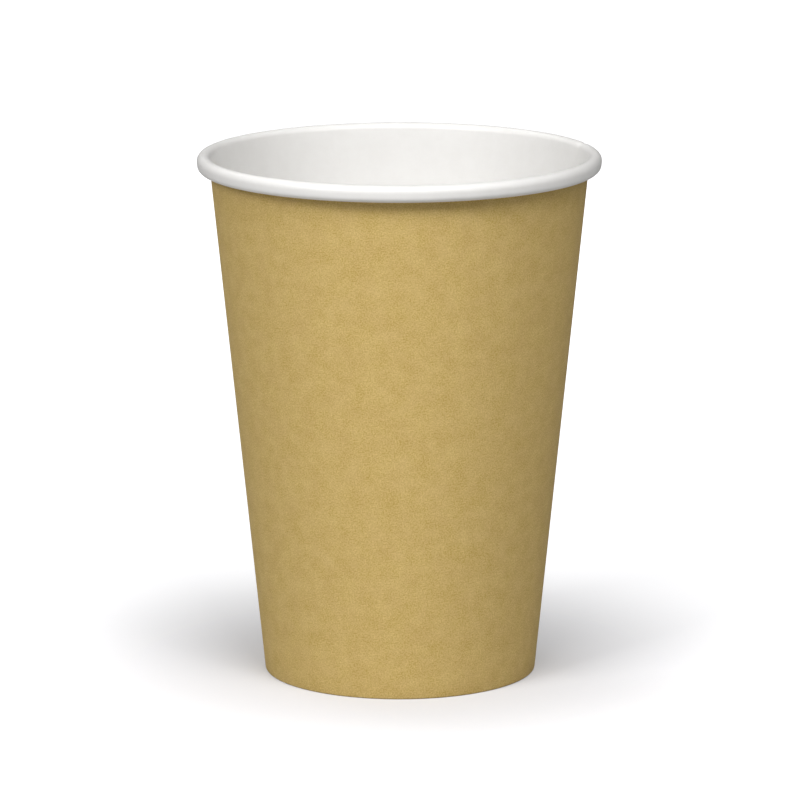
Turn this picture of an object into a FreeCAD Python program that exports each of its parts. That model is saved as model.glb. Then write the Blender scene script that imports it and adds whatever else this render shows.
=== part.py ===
import FreeCAD
import Part

import math
import os

# A single-wall paper cup, open at the top. It stands on its turned-in foot.
# Lengths are in millimetres. The origin is the middle of the ring it stands on, and +Z points up.
# The wall is one blank of board, wound once and lapped at the side seam. Its top edge is rolled
# outwards into the rim, which is a little taller than it is wide. Its bottom edge is turned in and
# up to make the foot.
# The base is a second piece of board: a disc with its edge turned down into a skirt, which is
# held between the wall and the turned-in foot.

# Overall sizes
cup_height = 117.4
rim_diameter = 90.0  # outside of the rolled rim
foot_diameter = 60.8  # outside of the wall's outer face, carried down to the standing ring

# The board of the wall and its rolled rim
wall_board = 0.38
roll_width = 3.1  # outside of the rolled tube, square to the wall
roll_height = 3.95  # outside of the rolled tube, along the wall
roll_slit = 0.08  # air between the rolled board and the board that it comes back to
roll_tuck = 70.0  # degrees that the edge goes on inside the roll once it is back at the wall

# The base
base_board = 0.30
floor_height = 8.5  # from the standing ring up to the floor's drink side
floor_bend = 0.9  # outer radius of the bend between floor and skirt
seal_film = 0.02  # the sealing film on each face of the skirt

# The turned-in foot
foot_below_floor = 2.0  # from the foot's cut edge up to the floor's drink side
foot_bend = 0.40  # outer radius of the two bends under the foot
skirt_clearance = 0.30  # air between the skirt's edge and the inside of the fold

# The side seam, measured round the rim
seam_lap = 6.0  # how far the outer layer reaches over the inner one
seam_climb = 4.0  # how far from the blank's first edge the board starts to climb over it
seam_direction = 16.5  # degrees from +X towards +Y, where the blank's first edge lies

AXIS_POINT = FreeCAD.Vector(0, 0, 0)
AXIS = FreeCAD.Vector(0, 0, 1)
FULL_TURN = 360.0
HALF_TURN = 180.0

# Sizes that follow from the ones above
rim_radius = rim_diameter / 2
foot_radius = foot_diameter / 2
roll_radius = roll_width / 2
roll_flat = roll_height - roll_width  # the straight run between the roll's upper and lower bends
roll_centre_r = rim_radius - roll_radius  # of the upper bend
roll_centre_z = cup_height - roll_radius
roll_shift = (wall_board + roll_slit) / 2  # the lower bend's centre lies further out by this
roll_end = FULL_TURN + roll_tuck
pocket = base_board + 2 * seal_film  # between the wall and the foot, where the skirt is held
foot_height = floor_height - foot_below_floor
lap_angle = math.degrees(seam_lap / rim_radius)
climb_angle = math.degrees(seam_climb / rim_radius)


def wall_lean():
    """Angle from the cup's axis at which the wall's white face runs into the roll."""
    across = roll_centre_r - foot_radius
    to_roll = math.hypot(across, roll_centre_z)
    return math.atan2(across, roll_centre_z) - math.asin((roll_radius - wall_board) / to_roll)


lean = wall_lean()
out_r = math.cos(lean)  # the wall's outward direction, as radius and height
out_z = -math.sin(lean)


def wall_point(height, depth):
    """Point of the wall at a height. Depth runs outwards from its inner, white face."""
    radius = foot_radius + height * math.tan(lean) + (depth - wall_board) / math.cos(lean)
    return FreeCAD.Vector(radius, 0, height)


def doubled_roll_end():
    """Turn at which two layers of rolled board come back to the two layers of the wall."""
    reach = roll_radius + roll_shift - 2 * wall_board - roll_slit
    return FULL_TURN - math.degrees(math.acos(reach / (roll_radius - roll_shift)))


def roll_point(bend, turn, depth):
    """Point of the roll in its upper (0), lower (1) or inner (2) bend.

    The turn is 0 at the roll's inmost side, and runs over the top and outwards.
    """
    lower = bend == 1
    radius = roll_radius - bend * roll_shift - depth
    outwards = lower * roll_shift - radius * math.cos(math.radians(turn))
    upwards = radius * math.sin(math.radians(turn)) - lower * roll_flat
    return FreeCAD.Vector(
        roll_centre_r + outwards * out_r - upwards * out_z,
        0,
        roll_centre_z + outwards * out_z + upwards * out_r,
    )


def line(start, end):
    return Part.LineSegment(start, end).toShape()


def roll_run(depth, last_turn):
    """One face of the rolled board, from the wall to a last turn, and the point where it ends."""
    edges = []
    end = None
    for bend in range(math.ceil(last_turn / HALF_TURN)):
        first = bend * HALF_TURN
        last = min(first + HALF_TURN, last_turn)
        points = [roll_point(bend, turn, depth) for turn in (first, (first + last) / 2, last)]
        if end:
            edges.append(line(end, points[0]))
        edges.append(Part.Arc(*points).toShape())
        end = points[-1]
    return edges, end


def rounded_corner(before, corner, after, radius):
    """Start, middle and end of the arc that rounds a corner between two straight lines."""
    back = (before - corner).normalize()
    ahead = (after - corner).normalize()
    half_angle = back.getAngle(ahead) / 2
    bisector = (back + ahead).normalize()
    reach = radius / math.tan(half_angle)
    to_middle = radius / math.sin(half_angle) - radius
    return corner + back * reach, corner + bisector * to_middle, corner + ahead * reach


def wall_section(inner_depth, outer_depth, last_turn):
    """The board between two depths, from its rolled edge down the wall and up inside the foot."""
    inner_top = roll_point(0, 0, inner_depth)
    outer_top = roll_point(0, 0, outer_depth)
    fold_wall = wall_point(wall_board, inner_depth)
    fold_foot = wall_point(wall_board, -pocket - inner_depth)
    foot_top_inner = wall_point(foot_height, -pocket - inner_depth)
    foot_top_outer = wall_point(foot_height, -pocket - outer_depth)
    foot_corner = wall_point(0, -pocket - outer_depth)
    wall_corner = wall_point(0, outer_depth)
    bend = min(foot_bend, 0.45 * (wall_corner.x - foot_corner.x))
    foot_arc = rounded_corner(foot_top_outer, foot_corner, wall_corner, bend)
    wall_arc = rounded_corner(foot_corner, wall_corner, outer_top, bend)
    inner_roll, inner_end = roll_run(inner_depth, last_turn)
    outer_roll, outer_end = roll_run(outer_depth, last_turn)
    edges = inner_roll + outer_roll
    edges += [
        line(inner_end, outer_end),
        line(inner_top, fold_wall),
        line(fold_wall, fold_foot),
        line(fold_foot, foot_top_inner),
        line(foot_top_inner, foot_top_outer),
        line(foot_top_outer, foot_arc[0]),
        Part.Arc(*foot_arc).toShape(),
        line(foot_arc[2], wall_arc[0]),
        Part.Arc(*wall_arc).toShape(),
        line(wall_arc[2], outer_top),
    ]
    return Part.Wire(Part.sortEdges(edges)[0])


def at_direction(shape, angle):
    """The shape turned from the XZ plane to a direction, in degrees from +X towards +Y."""
    turned = shape.copy()
    turned.rotate(AXIS_POINT, AXIS, angle)
    return turned


def sector(wire, start, angle):
    """A section swept round the cup's axis from one direction through an angle."""
    return at_direction(Part.Face(wire), start).revolve(AXIS_POINT, AXIS, angle)


def side_wall():
    """The wall's blank: a single layer nearly all round, the climb over its first edge, the lap."""
    short_roll = doubled_roll_end()
    climb_start = seam_direction + climb_angle
    single = sector(
        wall_section(0, wall_board, roll_end),
        climb_start,
        FULL_TURN - climb_angle - lap_angle,
    )
    low_end = at_direction(wall_section(0, wall_board, short_roll), climb_start)
    high_end = at_direction(wall_section(wall_board, 2 * wall_board, short_roll), seam_direction)
    climb = Part.makeLoft([low_end, high_end], True, True)
    lap = sector(wall_section(0, 2 * wall_board, short_roll), seam_direction, -lap_angle)
    return single.fuse([climb, lap]).removeSplitter()


def base_disc():
    """The floor and its skirt, which runs down between the wall and the turned-in foot."""
    skirt_outer = -seal_film
    skirt_inner = -seal_film - base_board
    floor_under = floor_height - base_board
    skirt_edge = wall_board + skirt_clearance
    floor_corner = wall_point(floor_height, skirt_outer)
    under_corner = wall_point(floor_under, skirt_inner)
    edge_outer = wall_point(skirt_edge, skirt_outer)
    edge_inner = wall_point(skirt_edge, skirt_inner)
    floor_centre = FreeCAD.Vector(0, 0, floor_height)
    under_centre = FreeCAD.Vector(0, 0, floor_under)
    top_arc = rounded_corner(floor_centre, floor_corner, edge_outer, floor_bend)
    inner_bend = max(floor_bend - base_board, 0.2 * floor_bend)
    under_arc = rounded_corner(edge_inner, under_corner, under_centre, inner_bend)
    edges = [
        line(floor_centre, top_arc[0]),
        Part.Arc(*top_arc).toShape(),
        line(top_arc[2], edge_outer),
        line(edge_outer, edge_inner),
        line(edge_inner, under_arc[0]),
        Part.Arc(*under_arc).toShape(),
        line(under_arc[2], under_centre),
        line(under_centre, floor_centre),
    ]
    return sector(Part.Wire(edges), 0, FULL_TURN)


os.makedirs("parts", exist_ok=True)
pieces = {"side_wall": side_wall(), "base_disc": base_disc()}
for node, solid in pieces.items():
    solid.exportStep(os.path.join("parts", node + ".step"))
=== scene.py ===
import math

import bmesh
import bpy
from mathutils import Matrix, Vector


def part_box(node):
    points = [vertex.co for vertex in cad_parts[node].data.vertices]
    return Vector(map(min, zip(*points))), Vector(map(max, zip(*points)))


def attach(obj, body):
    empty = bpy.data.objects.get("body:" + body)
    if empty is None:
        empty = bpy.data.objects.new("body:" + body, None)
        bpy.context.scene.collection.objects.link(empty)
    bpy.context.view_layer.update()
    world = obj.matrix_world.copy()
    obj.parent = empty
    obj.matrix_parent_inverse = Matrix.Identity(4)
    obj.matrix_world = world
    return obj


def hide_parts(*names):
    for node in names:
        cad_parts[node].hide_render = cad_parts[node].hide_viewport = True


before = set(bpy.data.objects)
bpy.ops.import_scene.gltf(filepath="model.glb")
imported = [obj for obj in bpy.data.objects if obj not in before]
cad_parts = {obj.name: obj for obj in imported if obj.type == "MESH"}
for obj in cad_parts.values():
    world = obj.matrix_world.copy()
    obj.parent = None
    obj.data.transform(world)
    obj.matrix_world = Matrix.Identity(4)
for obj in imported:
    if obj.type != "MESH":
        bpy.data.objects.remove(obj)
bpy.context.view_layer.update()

# A single-wall paper cup: kraft brown board outside, coated white inside.
# Lengths are in metres, in the cup's own frame: +Z up, the origin on the table under its middle.

mm = 0.001
full_turn = 2 * math.pi
half_turn = math.pi

# Sizes of the cup
rim_radius = 45.0 * mm
cup_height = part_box("side_wall")[1][2]
foot_radius = 30.4 * mm
wall_board = 0.38 * mm
roll_radius = 1.55 * mm
roll_flat = 0.85 * mm  # the straight run between the roll's upper and lower bends
roll_slit = 0.08 * mm
roll_tuck = math.radians(70)  # how far the edge goes on inside the roll
base_board = 0.30 * mm
floor_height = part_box("base_disc")[1][2]
floor_bend = 0.9 * mm
floor_dish = 0.12 * mm  # how far the floor's middle sags
seal_film = 0.02 * mm
foot_below_floor = 2.0 * mm
fold_bend = 0.06 * mm  # inside of the two bends under the foot
skirt_clearance = 0.30 * mm
knurl_depth = 0.05 * mm  # the tooth marks pressed into the foot's inner side
knurl_margin = 1.2 * mm  # plain board above and below them

# The side seam. The blank runs from its first edge towards -Y.
seam_direction = math.radians(16.5)
seam_lap = 6.0 * mm
seam_climb = 4.0 * mm
fold_zone = 1.0 * mm  # under the foot, where the inner layer is pressed up by the outer one

# How finely the boards are divided
round_steps = 250
climb_steps = 16
lap_steps = 8
roll_steps = 14  # for each half turn of the roll
tuck_steps = 5
wall_steps = 30
fold_steps = 4
foot_steps = 6
floor_steps = 16
floor_bend_steps = 8
skirt_steps = 4
weld_distance = 0.001 * mm
sharp_angle = math.radians(50)

# What follows from the sizes
roll_centre = Vector((rim_radius - roll_radius, 0, cup_height - roll_radius))  # its upper bend's
roll_shift = (wall_board + roll_slit) / 2  # the lower bend's centre lies further out by this
pocket = base_board + 2 * seal_film  # between the wall and the foot, where the skirt is held
foot_height = floor_height - foot_below_floor
skirt_edge = wall_board + skirt_clearance
to_roll = roll_centre - Vector((foot_radius, 0, 0))
lean = math.atan2(to_roll.x, to_roll.z) - math.asin((roll_radius - wall_board) / to_roll.length)
outwards = Vector((math.cos(lean), 0, -math.sin(lean)))
upwards = Vector((math.sin(lean), 0, math.cos(lean)))
lap_angle = seam_lap / rim_radius
climb_angle = seam_climb / rim_radius
plain_turn = full_turn - climb_angle
lap_step = wall_board + seal_film  # how far the outer layer lies from the inner one

# The photograph's camera, fitted to the cup's outline
view_pitch = math.radians(11.8)
view_roll = math.radians(-0.09)
view_distance = 1269 * mm
view_reach = 20  # far enough to see the table's edge
aim_height = 61.3 * mm
focal_pixels = 5663
frame_pixels = 800
middle_pixel = 399.7  # where the cup's axis meets the frame
sensor_width = 36.0

# Table and lamps
table_radius = 4000 * mm
table_sides = 96
room_light = 0.01
softbox_distance = 1800 * mm
softbox_width = 700 * mm

# Two distances from the cup's axis, and the table's glow at each. The glow is painted light, seen by
# the camera alone; it is weakest near the cup, so the table is painted darker round the cup's foot, a
# painted shade over its real shadow.
near_glow = (15 * mm, 110 * mm, 0.08, 0.63)
far_glow = (150 * mm, 600 * mm, 0.0, 0.3)

# Softboxes: degrees from the camera towards +X, degrees above the table, and watts
softboxes = {
    "left_softbox": (-45, 35, 14.5),
    "front_left_softbox": (-20, 50, 8.8),
    "front_right_softbox": (20, 50, 11.6),
    "right_softbox": (45, 35, 5.2),
    "high_softbox": (35, 65, 4.5),
    "back_softbox": (-140, 45, 3.0),
}

# Colours, as linear red, green and blue
kraft_light = (0.750, 0.568, 0.234)
kraft_dark = (0.450, 0.293, 0.063)
kraft_pink = (0.620, 0.412, 0.200)
coating_white = (0.845, 0.835, 0.815)
coating_grey = (0.825, 0.813, 0.792)
pulp_cream = (0.72, 0.60, 0.42)
paper_white = (0.80, 0.785, 0.75)
speck_shade = 0.86  # of plain paper's own colour
table_grey = (0.45, 0.45, 0.45)  # what the table throws back on the cup
table_seen = (0.65, 0.65, 0.675)  # how it looks to the camera

# The paper's pattern
cloud_size = 4.0 * mm
tint_size = 5.0 * mm
grain_size = 0.32 * mm
grain_depth = 0.04 * mm

# Two values of the pattern, and the share of the lighter or pinker tone at each
kraft_grain_tone = (0.20, 0.80, 0.18, 0.82)
kraft_cloud_tone = (0.25, 0.75, -0.16, 0.16)
kraft_pink_tone = (0.30, 0.70, 0.0, 0.16)
coating_cloud_tone = (0.30, 0.70, 0.0, 1.0)
paper_speck_tone = (0.25, 0.65, 0.0, 1.0)

# Two values of the pattern, and the roughness at each
kraft_roughness = (0.30, 0.70, 0.59, 0.65)
coating_roughness = (0.30, 0.70, 0.36, 0.44)
paper_roughness = (0.30, 0.70, 0.82, 0.92)

# How much each face shines, and how strongly its pattern stands out
kraft_shine = 0.2
coating_shine = 0.5
paper_shine = 0.3
kraft_relief = 0.3
coating_relief = 0.1
paper_relief = 0.3
cut_edge_relief = 0.4


# Points of the two boards' sections

def wall_point(height, depth):
    """Point of the wall at a height. Depth runs outwards from the white face."""
    radius = foot_radius + height * math.tan(lean) + (depth - wall_board) / math.cos(lean)
    return Vector((radius, 0, height))


def roll_point(bend, turn):
    """Point of the roll's white face in its upper (0), lower (1) or inner (2) bend.

    The turn is 0 at the roll's inmost side, and runs over the top and outwards.
    """
    lower = bend == 1
    radius = roll_radius - bend * roll_shift
    sideways = outwards * (lower * roll_shift - radius * math.cos(turn))
    return roll_centre + sideways + upwards * (radius * math.sin(turn) - lower * roll_flat)


def between(start, end, count):
    """Evenly spaced values from start to end, both of them included."""
    return [start + (end - start) * i / count for i in range(count + 1)]


def corner_points(before, corner, after, radius, count):
    """Points of the arc that rounds the corner between two straight runs."""
    back = (before - corner).normalized()
    ahead = (after - corner).normalized()
    half_angle = back.angle(ahead) / 2
    centre = corner + (back + ahead).normalized() * (radius / math.sin(half_angle))
    reach = radius / math.tan(half_angle)
    start = (corner + back * reach - centre).normalized()
    end = (corner + ahead * reach - centre).normalized()
    return [centre + start.slerp(end, share) * radius for share in between(0.0, 1.0, count)]


def run_points(start, end, count):
    """Points along a straight run, without its start."""
    return [start.lerp(end, share) for share in between(0.0, 1.0, count)[1:]]


def wall_section():
    """White face of the wall's blank, from its edge inside the roll down to the foot's top edge."""
    points = [roll_point(2, turn) for turn in between(full_turn + roll_tuck, full_turn, tuck_steps)]
    points += [roll_point(1, turn) for turn in between(full_turn, half_turn, roll_steps)]
    points += [roll_point(0, turn) for turn in between(half_turn, 0.0, roll_steps)]
    fold_wall = wall_point(wall_board, 0)
    fold_foot = wall_point(wall_board, -pocket)
    foot_top = wall_point(foot_height, -pocket)
    wall_bend = corner_points(points[-1], fold_wall, fold_foot, fold_bend, fold_steps)
    foot_bend = corner_points(fold_wall, fold_foot, foot_top, fold_bend, fold_steps)
    points += run_points(points[-1], wall_bend[0], wall_steps)
    points += wall_bend[1:] + foot_bend
    points += run_points(foot_bend[-1], foot_top, foot_steps)
    return points


def base_section():
    """Drink side of the base's blank, from the middle of the floor out to the skirt's edge."""
    floor_middle = Vector((0, 0, floor_height))
    bend_corner = wall_point(floor_height, -seal_film)
    skirt_end = wall_point(skirt_edge, -seal_film)
    bend = corner_points(floor_middle, bend_corner, skirt_end, floor_bend, floor_bend_steps)
    points = []
    for share in between(0.0, 1.0, floor_steps)[:-1]:
        sag = floor_dish * (math.cos(half_turn * share) + 1) / 2
        points.append(Vector((bend[0].x * share, 0, floor_height - sag)))
    points += bend
    points += run_points(bend[-1], skirt_end, skirt_steps)
    return points


# Pieces

def add_section(bm, points, direction, down):
    """The section's points in a line at a direction, each with its distance along the board."""
    to_direction = Matrix.Rotation(direction, 3, "Z")
    verts = [bm.verts.new(to_direction @ point) for point in points]
    for before, vert in zip(verts, verts[1:]):
        vert[down] = before[down] + (vert.co - before.co).length
    edges = [bm.edges.new(pair) for pair in zip(verts, verts[1:])]
    return verts + edges


def wind(bm, geom, angle, steps, closed=False):
    """Sweeps the board round the cup's axis and gives back its last edge."""
    swept = bmesh.ops.spin(
        bm, geom=geom, cent=(0, 0, 0), axis=(0, 0, 1), angle=angle, steps=steps, use_merge=closed
    )
    return swept["geom_last"]


def smooth(share):
    """Share from 0 to 1 that starts and ends gently."""
    share = min(max(share, 0.0), 1.0)
    return share * share * (3 - 2 * share)


def turned_from_seam(vert):
    """Angle round the axis from the blank's first edge."""
    return (seam_direction - math.atan2(vert.co.y, vert.co.x)) % full_turn


def give_thickness(bm, board):
    """Adds the board's other face behind the white one. Faces are 0 white, 1 back, 2 cut edge."""
    white = set(bm.verts)
    bmesh.ops.solidify(bm, geom=list(bm.faces), thickness=board)
    for face in bm.faces:
        on_white = sum(vert in white for vert in face.verts)
        face.material_index = 0 if on_white == len(face.verts) else 2 if on_white else 1
    bmesh.ops.recalc_face_normals(bm, faces=bm.faces)
    return [vert for vert in bm.verts if vert not in white]


def add_mesh(name, bm, materials):
    """The mesh as an object of the scene, with its materials."""
    mesh = bpy.data.meshes.new(name)
    bm.to_mesh(mesh)
    bm.free()
    for material in materials:
        mesh.materials.append(material)
    return add_object(name, mesh)


def add_object(name, data):
    """A mesh, a lamp or a camera as an object of the scene."""
    piece = bpy.data.objects.new(name, data)
    bpy.context.scene.collection.objects.link(piece)
    return piece


def finish_board(name, bm, materials):
    """The board as a piece of the cup, smooth except at its cut edges."""
    piece = add_mesh(name, bm, materials)
    piece.data.shade_smooth()
    piece.data.set_sharp_from_angle(angle=sharp_angle)
    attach(piece, "root")
    return piece


def press_knurl(back_verts, around):
    """Tooth marks on the inner side of the foot, one for every second step round it."""
    low = wall_point(knurl_margin, 0).z
    high = foot_height - knurl_margin
    for vert in back_verts:
        inside = vert.co.xy.length < wall_point(vert.co.z, -pocket - wall_board / 2).x
        tooth = round(vert[around] / plain_turn * round_steps) % 2
        if inside and tooth and low < vert.co.z < high:
            vert.co -= vert.co.xy.normalized().to_3d() * knurl_depth


def lay_flat(bm, around, down):
    """UV map of the flat blank in metres, a sector of a ring, as it was before it was wound."""
    uv = bm.loops.layers.uv.new("blank")
    rolled_up = (full_turn + roll_tuck) * (roll_radius - roll_shift) + 2 * roll_flat
    apex_to_edge = roll_point(0, 0.0).x / math.sin(lean) + rolled_up
    for face in bm.faces:
        for loop in face.loops:
            slant = apex_to_edge - loop.vert[down]
            angle = (loop.vert[around] - half_turn) * math.sin(lean)
            loop[uv].uv = (slant * math.sin(angle), slant * math.cos(angle))


def make_wall(materials):
    """The blank, wound once and over its own first edge at the side seam."""
    bm = bmesh.new()
    around = bm.verts.layers.float.new("around")
    down = bm.verts.layers.float.new("down")
    first_edge = add_section(bm, wall_section(), seam_direction, down)
    first_verts = set(bm.verts)
    last_edge = wind(bm, first_edge, -plain_turn, round_steps)
    plain_verts = set(bm.verts)
    wind(bm, last_edge, -climb_angle - lap_angle, climb_steps + lap_steps)
    bm.normal_update()
    for vert in bm.verts:
        vert[around] = 0.0 if vert in first_verts else turned_from_seam(vert)
        if vert not in plain_verts:
            climbed = (vert[around] - plain_turn) % full_turn
            vert[around] = plain_turn + climbed
            shift = -vert.normal * lap_step * smooth(climbed / climb_angle)
            shift.z = max(shift.z, min(wall_board - vert.co.z, 0.0))
            vert.co += shift
        elif vert.co.z < fold_zone:
            sunk = smooth((vert[around] - lap_angle) / climb_angle)
            vert.co.z += lap_step * max(vert.normal.z, 0.0) * (1 - sunk)
    back_verts = give_thickness(bm, wall_board)
    press_knurl(back_verts, around)
    lay_flat(bm, around, down)
    return finish_board("wall", bm, materials)


def make_base(materials):
    """The disc with its edge turned down into the skirt."""
    bm = bmesh.new()
    down = bm.verts.layers.float.new("down")
    section = add_section(bm, base_section(), 0.0, down)
    wind(bm, section, full_turn, round_steps // 2, closed=True)
    bmesh.ops.remove_doubles(bm, verts=bm.verts, dist=weld_distance)
    bmesh.ops.recalc_face_normals(bm, faces=bm.faces)
    bm.normal_update()
    give_thickness(bm, base_board)
    return finish_board("base", bm, materials)


# Materials

class Nodes:
    """A node tree with short calls for adding nodes and joining them."""

    def __init__(self, tree):
        self.tree = tree

    def add(self, kind, settings=None, **inputs):
        node = self.tree.nodes.new("ShaderNode" + kind)
        for name, value in (settings or {}).items():
            setattr(node, name, value)
        for name, value in inputs.items():
            self.feed(node, name.replace("_", " "), value)
        return node

    def feed(self, node, socket, value):
        if isinstance(value, bpy.types.NodeSocket):
            self.tree.links.new(value, node.inputs[socket])
        else:
            node.inputs[socket].default_value = value

    def math(self, operation, a, b):
        node = self.add("Math", {"operation": operation})
        self.feed(node, 0, a)
        self.feed(node, 1, b)
        return node.outputs[0]

    def blend(self, share, low, high):
        """Colour between two colours."""
        node = self.add("Mix", {"data_type": "RGBA"})
        self.feed(node, 0, share)
        self.feed(node, 6, low if isinstance(low, bpy.types.NodeSocket) else (*low, 1))
        self.feed(node, 7, high if isinstance(high, bpy.types.NodeSocket) else (*high, 1))
        return node.outputs[2]

    def ramp(self, value, low, high, to_low=0.0, to_high=1.0):
        """Value carried from one range to another and held at its ends."""
        node = self.add("MapRange", {"interpolation_type": "SMOOTHSTEP"}, Value=value)
        for i, limit in enumerate((low, high, to_low, to_high), start=1):
            self.feed(node, i, limit)
        return node.outputs["Result"]

    def noise(self, position, size, detail=2.0, roughness=0.5, turn=0.0):
        """Soft noise whose blobs are about a size across, in metres."""
        mapping = self.add("Mapping", Vector=position)
        mapping.inputs["Rotation"].default_value = (0, 0, turn)
        texture = self.add("TexNoise", Vector=mapping.outputs[0], Scale=1 / size, Detail=detail)
        texture.inputs["Roughness"].default_value = roughness
        return texture.outputs["Fac"]


def empty_nodes(owner):
    """The nodes of a material or a world, emptied first."""
    owner.use_nodes = True
    owner.node_tree.nodes.clear()
    return Nodes(owner.node_tree)


def new_group(name, inputs, outputs):
    """An empty node group with named inputs and outputs."""
    tree = bpy.data.node_groups.new(name, "ShaderNodeTree")
    for socket_name, kind in inputs:
        tree.interface.new_socket(socket_name, in_out="INPUT", socket_type="NodeSocket" + kind)
    for socket_name, kind in outputs:
        tree.interface.new_socket(socket_name, in_out="OUTPUT", socket_type="NodeSocket" + kind)
    return Nodes(tree), tree.nodes.new("NodeGroupInput"), tree.nodes.new("NodeGroupOutput")


def pulp_group():
    """How a sheet of paper varies: clouds of thicker pulp, a drift in its tint, and fine grain."""
    nodes, given, result = new_group(
        "pulp",
        [("Position", "Vector")],
        [("Clouds", "Float"), ("Tint", "Float"), ("Grain", "Float")],
    )
    position = given.outputs["Position"]
    nodes.feed(result, "Clouds", nodes.noise(position, cloud_size, detail=4.0, roughness=0.75))
    nodes.feed(result, "Tint", nodes.noise(position, tint_size, detail=3.0, roughness=0.65, turn=1.0))
    nodes.feed(result, "Grain", nodes.noise(position, grain_size, detail=1.0))
    return nodes.tree


def new_material(name):
    """A material with a Principled shader that waits for its colour and its finish."""
    material = bpy.data.materials.new(name)
    nodes = empty_nodes(material)
    output = nodes.add("OutputMaterial")
    shader = nodes.add("BsdfPrincipled")
    nodes.feed(output, "Surface", shader.outputs["BSDF"])
    return material, nodes, shader


def add_pulp(nodes, position, pulp):
    """The pulp's clouds, tint and grain at a position."""
    group = nodes.add("Group")
    group.node_tree = pulp
    nodes.feed(group, "Position", position)
    return group.outputs


def raise_grain(nodes, shader, pattern, strength):
    """Lets the surface rise and fall with the paper's pattern."""
    bump = nodes.add("Bump", Height=pattern, Distance=grain_depth, Strength=strength)
    nodes.feed(shader, "Normal", bump.outputs["Normal"])


def kraft_material(pulp):
    """Brown kraft face: a fine grain, soft two-tone mottles and a low, wide shine."""
    material, nodes, shader = new_material("kraft")
    sheet = add_pulp(nodes, nodes.add("UVMap").outputs["UV"], pulp)
    grain = nodes.ramp(sheet["Grain"], *kraft_grain_tone)
    clouds = nodes.ramp(sheet["Clouds"], *kraft_cloud_tone)
    colour = nodes.blend(nodes.math("ADD", grain, clouds), kraft_dark, kraft_light)
    tint = nodes.ramp(sheet["Tint"], *kraft_pink_tone)
    nodes.feed(shader, "Base Color", nodes.blend(tint, colour, kraft_pink))
    nodes.feed(shader, "Roughness", nodes.ramp(sheet["Clouds"], *kraft_roughness))
    shader.inputs["Specular IOR Level"].default_value = kraft_shine
    raise_grain(nodes, shader, sheet["Grain"], kraft_relief)
    return material


def coating_material(pulp):
    """White coated face: satin, with the faintest clouds of the pulp under it."""
    material, nodes, shader = new_material("white_coating")
    sheet = add_pulp(nodes, nodes.add("TexCoord").outputs["Object"], pulp)
    colour = nodes.blend(nodes.ramp(sheet["Clouds"], *coating_cloud_tone), coating_grey, coating_white)
    nodes.feed(shader, "Base Color", colour)
    nodes.feed(shader, "Roughness", nodes.ramp(sheet["Clouds"], *coating_roughness))
    shader.inputs["Specular IOR Level"].default_value = coating_shine
    raise_grain(nodes, shader, sheet["Clouds"], coating_relief)
    return material


def plain_paper_material(name, tone, pulp, relief):
    """Uncoated paper, such as the base's under side and the board's cut edges."""
    material, nodes, shader = new_material(name)
    sheet = add_pulp(nodes, nodes.add("TexCoord").outputs["Object"], pulp)
    specks = tuple(channel * speck_shade for channel in tone)
    colour = nodes.blend(nodes.ramp(sheet["Grain"], *paper_speck_tone), specks, tone)
    nodes.feed(shader, "Base Color", colour)
    nodes.feed(shader, "Roughness", nodes.ramp(sheet["Grain"], *paper_roughness))
    shader.inputs["Specular IOR Level"].default_value = paper_shine
    raise_grain(nodes, shader, sheet["Grain"], relief)
    return material


def table_material():
    """Pale and dull, with a glow for the camera alone that grows with distance from the cup. The glow
    is painted light, and its weakness near the cup is painted shade round the foot.
    """
    material = bpy.data.materials.new("pale_table")
    nodes = empty_nodes(material)
    output = nodes.add("OutputMaterial")
    seen = nodes.add("LightPath").outputs["Is Camera Ray"]
    diffuse = nodes.add("BsdfDiffuse", Color=nodes.blend(seen, table_grey, table_seen))
    away = nodes.add("VectorMath", {"operation": "LENGTH"})
    nodes.feed(away, 0, nodes.add("TexCoord").outputs["Object"])
    # Painted shade: less glow near the cup leaves the table darker round its foot
    near = nodes.ramp(away.outputs["Value"], *near_glow)
    far = nodes.ramp(away.outputs["Value"], *far_glow)
    glow = nodes.add("Emission", Strength=nodes.math("MULTIPLY", seen, nodes.math("ADD", near, far)))
    shaded = nodes.add("AddShader")
    nodes.feed(shaded, 0, diffuse.outputs[0])
    nodes.feed(shaded, 1, glow.outputs[0])
    nodes.feed(output, "Surface", shaded.outputs[0])
    return material


# Studio

def make_table():
    """A pale table that keeps the cup's shadow, with painted shade added round the cup, and fades to
    white away from it.
    """
    bm = bmesh.new()
    bmesh.ops.create_circle(bm, cap_ends=True, segments=table_sides, radius=table_radius)
    table = add_mesh("table", bm, [table_material()])


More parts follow.
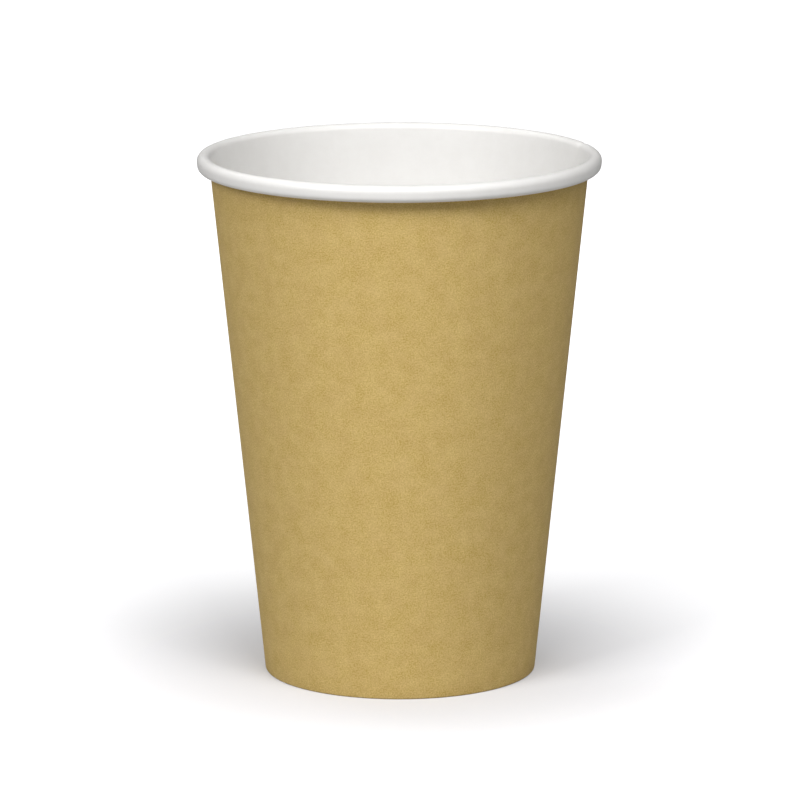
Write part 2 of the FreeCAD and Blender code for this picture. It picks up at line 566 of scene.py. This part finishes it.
def add_softbox(name, direction, height_angle, power):
    """A square lamp aimed at the cup's middle."""
    direction = math.radians(direction)
    height_angle = math.radians(height_angle)
    lamp = bpy.data.lights.new(name, "AREA")
    lamp.shape = "SQUARE"
    lamp.size = softbox_width
    lamp.energy = power
    aim = Vector((0, 0, cup_height / 2))
    reach = softbox_distance * math.cos(height_angle)
    rise = softbox_distance * math.sin(height_angle)
    place = aim + Vector((reach * math.sin(direction), -reach * math.cos(direction), rise))
    piece = add_object(name, lamp)
    piece.location = place
    piece.rotation_euler = (aim - place).to_track_quat("-Z", "Y").to_euler()


def light_room():
    """Even light from the pale room, white where the camera sees it."""
    world = bpy.data.worlds.new("pale_room")
    bpy.context.scene.world = world
    nodes = empty_nodes(world)
    output = nodes.add("OutputWorld")
    seen = nodes.add("LightPath").outputs["Is Camera Ray"]
    level = nodes.ramp(seen, 0.0, 1.0, room_light, 1.0)
    background = nodes.add("Background", Color=(1, 1, 1, 1), Strength=level)
    nodes.feed(output, "Surface", background.outputs[0])


def place_camera():
    """The photograph's view: a long lens, a little above the rim, turned a hair."""
    camera = bpy.data.cameras.new("view")
    camera.sensor_width = sensor_width
    camera.lens = focal_pixels / frame_pixels * sensor_width
    camera.shift_x = (frame_pixels / 2 - middle_pixel) / frame_pixels
    camera.clip_end = view_reach
    piece = add_object("view", camera)
    back = view_distance * math.cos(view_pitch)
    rise = view_distance * math.sin(view_pitch)
    piece.location = (0, -back, aim_height + rise)
    level = Matrix.Rotation(half_turn / 2 - view_pitch, 4, "X") @ Matrix.Rotation(view_roll, 4, "Z")
    piece.rotation_euler = level.to_euler()
    bpy.context.scene.camera = piece


place_camera()
light_room()
make_table()
for name, (direction, height_angle, power) in softboxes.items():
    add_softbox(name, direction, height_angle, power)

pulp = pulp_group()
coating = coating_material(pulp)
kraft = kraft_material(pulp)
cut_edge = plain_paper_material("cut_edge", pulp_cream, pulp, cut_edge_relief)
white_paper = plain_paper_material("white_paper", paper_white, pulp, paper_relief)

wall = make_wall([coating, kraft, cut_edge])
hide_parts("side_wall")
base = make_base([coating, white_paper, cut_edge])
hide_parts("base_disc")

bpy.context.scene.view_settings.view_transform = "Standard"
